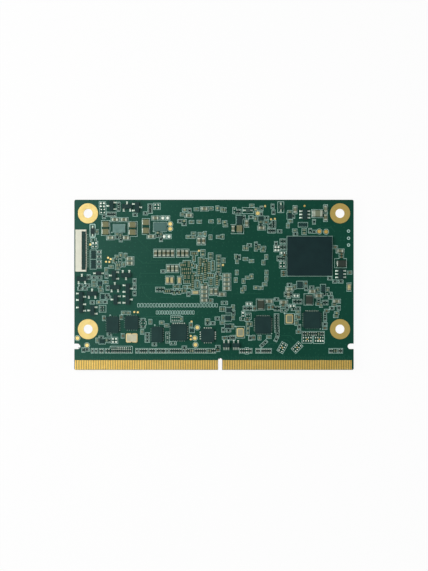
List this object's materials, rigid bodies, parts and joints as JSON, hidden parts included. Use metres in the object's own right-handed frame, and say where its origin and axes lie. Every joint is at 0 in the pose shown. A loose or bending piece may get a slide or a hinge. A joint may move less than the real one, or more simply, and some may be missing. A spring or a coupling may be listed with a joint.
{
  "type": "system on module",
  "caption": "Green card-edge computer module with gold fingers, flash memory, flip-lock cable connector and many small surface-mounted parts",
  "frame": {"origin": "middle of the board's outline, level with the processor's lower face", "axes": "+X along the card edge, +Y from the fingers to the far edge, +Z out of the pictured face"},
  "size_m": [0.082, 0.05, 0.0039],
  "materials": {
    "solder_mask": "semi-gloss green solder mask over laminate",
    "gold_plating": "thin hard gold over copper",
    "tin_solder": "tinned metal with bright solder",
    "epoxy_mould": "fine-grained black moulding",
    "memory_mould": "smooth black moulding",
    "laminate_base": "bare green laminate",
    "cream_plastic": "moulded cream plastic",
    "black_plastic": "moulded black plastic",
    "silicon_die": "coated back of a bare die",
    "ferrite": "pressed metal powder",
    "dark_ferrite": "fired ferrite",
    "ceramic_tan": "fired tan ceramic",
    "ceramic_cream": "fired cream ceramic",
    "resistor_glaze": "dark glass glaze",
    "metal_lid": "rolled nickel-plated lid"
  },
  "bodies": {
    "module": {"circuit_board": "solder_mask", "edge_fingers_upper": "gold_plating", "edge_fingers_lower": "gold_plating", "mounting_hole_plating": "gold_plating", "test_pads": "gold_plating", "bare_pads": "tin_solder", "flash_memory": "memory_mould", "flash_memory_balls": "tin_solder", "processor_base": "laminate_base", "processor_cap": "memory_mould", "processor_balls": "tin_solder", "ram_chip_a": "memory_mould", "ram_chip_b": "memory_mould", "ram_balls": "tin_solder", "fpc_housing": "cream_plastic", "fpc_contacts": "tin_solder", "codec_chip": "epoxy_mould", "bridge_chip": "epoxy_mould", "clock_chip": "epoxy_mould", "hub_chip": "epoxy_mould", "switch_chip": "epoxy_mould", "network_chip_a": "epoxy_mould", "network_chip_b": "epoxy_mould", "leadless_chip_contacts": "tin_solder", "mini_chips": "epoxy_mould", "mini_chip_contacts": "tin_solder", "power_dies": "silicon_die", "power_inductors": "ferrite", "power_inductor_ends": "tin_solder", "chokes": "dark_ferrite", "choke_ends": "tin_solder", "transistor_bodies": "epoxy_mould", "transistor_leads": "tin_solder", "six_lead_bodies": "epoxy_mould", "six_lead_leads": "tin_solder", "five_lead_bodies": "epoxy_mould", "five_lead_leads": "tin_solder", "diode_bodies": "epoxy_mould", "diode_leads": "tin_solder", "crystal_bases": "ceramic_cream", "crystal_rings": "gold_plating", "crystal_lids": "metal_lid", "tiny_capacitors": "ceramic_tan", "tiny_capacitor_ends": "tin_solder", "small_capacitors": "ceramic_tan", "small_capacitor_ends": "tin_solder", "medium_capacitors": "ceramic_tan", "medium_capacitor_ends": "tin_solder", "large_capacitor": "ceramic_tan", "large_capacitor_ends": "tin_solder", "resistors": "resistor_glaze", "resistor_ends": "tin_solder"},
    "locking_bar": {"fpc_locking_bar": "black_plastic"}
  },
  "joints": [
    {"name": "locking_bar_hinge", "type": "hinge", "parent": "module", "child": "locking_bar", "pos_m": [-0.03843, 0.01005, 0.00337], "axis": [0, -1, 0], "range_deg": [0, 90]}
  ]
}
